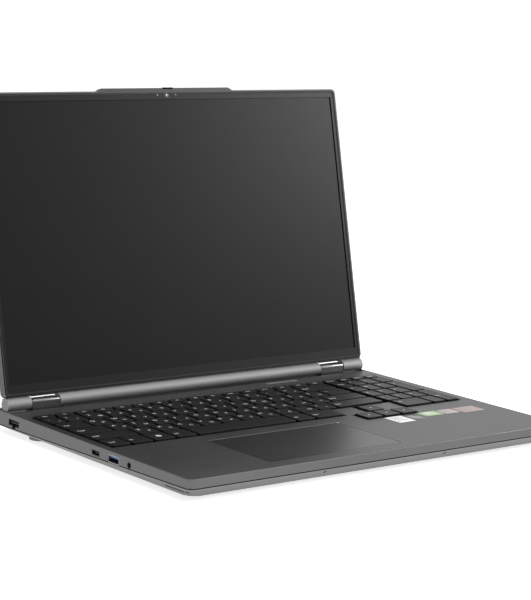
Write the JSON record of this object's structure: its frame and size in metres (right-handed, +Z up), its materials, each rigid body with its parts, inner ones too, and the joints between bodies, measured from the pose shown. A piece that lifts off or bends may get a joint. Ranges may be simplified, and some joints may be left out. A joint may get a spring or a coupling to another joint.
{
  "type": "laptop computer",
  "caption": "Thin open laptop computer with a large screen on a notched hinge barrel, full keyboard with number pad, offset touchpad and side sockets.",
  "frame": {"origin": "centre of the bottom of the bounding box of the open laptop, on the table", "axes": "+X to the user's right, +Y from the front edge to the rear, +Z up"},
  "size_m": [0.356, 0.2934, 0.2554],
  "materials": {
    "deck_metal": "bead-blasted anodised grey",
    "cover_metal": "satin anodised grey",
    "lid_metal": "bead-blasted anodised grey",
    "barrel_metal": "satin anodised grey",
    "screen": "anti-glare black",
    "bezel": "matt black",
    "lens": "clear black",
    "rubber": "matt black",
    "key_plastic": "fine matt black",
    "touch_glass": "satin grey",
    "button_metal": "satin anodised grey",
    "steel": "satin",
    "screw_steel": "black zinc",
    "socket_metal": "plated",
    "socket_plastic": "matt black",
    "circuit_board": "solder mask",
    "chip": "moulded",
    "copper": "bare metal",
    "fan_plastic": "moulded",
    "battery_wrap": "film"
  },
  "bodies": {
    "base": {"top_case": "deck_metal", "bottom_cover": "cover_metal", "bottom_screws": "screw_steel", "rear_foot": "rubber", "front_feet": "rubber", "keyboard_plate": "steel", "hinge_cover_left": "deck_metal", "hinge_cover_right": "deck_metal", "hinge_bracket_left": "steel", "hinge_bracket_right": "steel", "hinge_screws": "screw_steel", "motherboard": "circuit_board", "processor": "chip", "heat_pipes": "copper", "cooling_fins": "copper", "fan_housing_left": "fan_plastic", "fan_housing_right": "fan_plastic", "battery": "battery_wrap", "speakers": "fan_plastic", "storage_drive": "circuit_board", "memory_modules": "circuit_board", "wireless_card": "circuit_board", "io_boards": "circuit_board", "usb_a_socket_left": "socket_metal", "usb_a_socket_right": "socket_metal", "usb_c_socket": "socket_metal", "video_socket": "socket_metal", "audio_socket": "socket_plastic", "power_inlet": "socket_plastic", "touchpad_frame": "steel", "touchpad_switch": "chip", "power_guide": "steel"},
    "lid": {"lid_cover": "lid_metal", "display_panel": "screen", "display_bezel": "bezel", "camera_module": "lens", "lid_seal": "rubber", "hinge_barrel": "barrel_metal", "hinge_arm_left": "steel", "hinge_arm_right": "steel"},
    "function_keys": {"function_keys": "key_plastic"},
    "number_keys": {"number_keys": "key_plastic"},
    "backspace_key": {"backspace_key": "key_plastic"},
    "upper_letter_keys": {"upper_letter_keys": "key_plastic"},
    "home_letter_keys": {"home_letter_keys": "key_plastic"},
    "enter_key": {"enter_key": "key_plastic"},
    "left_shift_key": {"left_shift_key": "key_plastic"},
    "lower_letter_keys": {"lower_letter_keys": "key_plastic"},
    "right_shift_key": {"right_shift_key": "key_plastic"},
    "modifier_keys": {"modifier_keys": "key_plastic"},
    "space_key": {"space_key": "key_plastic"},
    "number_pad_keys": {"number_pad_keys": "key_plastic"},
    "arrow_left_key": {"arrow_left_key": "key_plastic"},
    "arrow_down_key": {"arrow_down_key": "key_plastic"},
    "arrow_right_key": {"arrow_right_key": "key_plastic"},
    "arrow_up_key": {"arrow_up_key": "key_plastic"},
    "touchpad": {"touchpad": "touch_glass"},
    "power_button": {"power_button": "button_metal"},
    "fan_rotor_left": {"fan_rotor_left": "fan_plastic"},
    "fan_rotor_right": {"fan_rotor_right": "fan_plastic"}
  },
  "joints": [
    {"name": "lid_hinge", "type": "hinge", "parent": "base", "child": "lid", "pos_m": [0, 0.09052, 0.0218], "axis": [-1, 0, 0], "range_deg": [-102.88, 40]},
    {"name": "touchpad_click", "type": "hinge", "parent": "base", "child": "touchpad", "pos_m": [-0.03716, -0.06338, 0.0151], "axis": [1, 0, 0], "range_deg": [0, 0.4], "stiffness_Nm_per_rad": 16, "springref_deg": -0.57},
    {"name": "power_press", "type": "slide", "parent": "base", "child": "power_button", "axis": [0, 0, -1], "range_m": [0, 0.0006], "stiffness_N_per_m": 900, "springref_m": -0.0008},
    {"name": "fan_spin_left", "type": "hinge", "parent": "base", "child": "fan_rotor_left", "pos_m": [-0.118, 0.04832, 0.004], "axis": [0, 0, 1], "continuous": true},
    {"name": "fan_spin_right", "type": "hinge", "parent": "base", "child": "fan_rotor_right", "pos_m": [0.118, 0.04832, 0.004], "axis": [0, 0, 1], "continuous": true},
    {"name": "function_keys_press", "type": "slide", "parent": "base", "child": "function_keys", "axis": [0, 0, -1], "range_m": [0, 0.0012], "stiffness_N_per_m": 5000, "springref_m": -0.0012},
    {"name": "number_keys_press", "type": "slide", "parent": "base", "child": "number_keys", "axis": [0, 0, -1], "range_m": [0, 0.0012], "stiffness_N_per_m": 3250, "springref_m": -0.0012},
    {"name": "backspace_key_press", "type": "slide", "parent": "base", "child": "backspace_key", "axis": [0, 0, -1], "range_m": [0, 0.0012], "stiffness_N_per_m": 250, "springref_m": -0.0012},
    {"name": "upper_letter_keys_press", "type": "slide", "parent": "base", "child": "upper_letter_keys", "axis": [0, 0, -1], "range_m": [0, 0.0012], "stiffness_N_per_m": 3500, "springref_m": -0.0012},
    {"name": "home_letter_keys_press", "type": "slide", "parent": "base", "child": "home_letter_keys", "axis": [0, 0, -1], "range_m": [0, 0.0012], "stiffness_N_per_m": 3000, "springref_m": -0.0012},
    {"name": "enter_key_press", "type": "slide", "parent": "base", "child": "enter_key", "axis": [0, 0, -1], "range_m": [0, 0.0012], "stiffness_N_per_m": 250, "springref_m": -0.0012},
    {"name": "left_shift_key_press", "type": "slide", "parent": "base", "child": "left_shift_key", "axis": [0, 0, -1], "range_m": [0, 0.0012], "stiffness_N_per_m": 250, "springref_m": -0.0012},
    {"name": "lower_letter_keys_press", "type": "slide", "parent": "base", "child": "lower_letter_keys", "axis": [0, 0, -1], "range_m": [0, 0.0012], "stiffness_N_per_m": 2500, "springref_m": -0.0012},
    {"name": "right_shift_key_press", "type": "slide", "parent": "base", "child": "right_shift_key", "axis": [0, 0, -1], "range_m": [0, 0.0012], "stiffness_N_per_m": 250, "springref_m": -0.0012},
    {"name": "modifier_keys_press", "type": "slide", "parent": "base", "child": "modifier_keys", "axis": [0, 0, -1], "range_m": [0, 0.0012], "stiffness_N_per_m": 1500, "springref_m": -0.0012},
    {"name": "space_key_press", "type": "slide", "parent": "base", "child": "space_key", "axis": [0, 0, -1], "range_m": [0, 0.0012], "stiffness_N_per_m": 250, "springref_m": -0.0012},
    {"name": "number_pad_keys_press", "type": "slide", "parent": "base", "child": "number_pad_keys", "axis": [0, 0, -1], "range_m": [0, 0.0012], "stiffness_N_per_m": 4250, "springref_m": -0.0012},
    {"name": "arrow_left_key_press", "type": "slide", "parent": "base", "child": "arrow_left_key", "axis": [0, 0, -1], "range_m": [0, 0.0012], "stiffness_N_per_m": 250, "springref_m": -0.0012},
    {"name": "arrow_down_key_press", "type": "slide", "parent": "base", "child": "arrow_down_key", "axis": [0, 0, -1], "range_m": [0, 0.0012], "stiffness_N_per_m": 250, "springref_m": -0.0012},
    {"name": "arrow_right_key_press", "type": "slide", "parent": "base", "child": "arrow_right_key", "axis": [0, 0, -1], "range_m": [0, 0.0012], "stiffness_N_per_m": 250, "springref_m": -0.0012},
    {"name": "arrow_up_key_press", "type": "slide", "parent": "base", "child": "arrow_up_key", "axis": [0, 0, -1], "range_m": [0, 0.0012], "stiffness_N_per_m": 250, "springref_m": -0.0012}
  ]
}
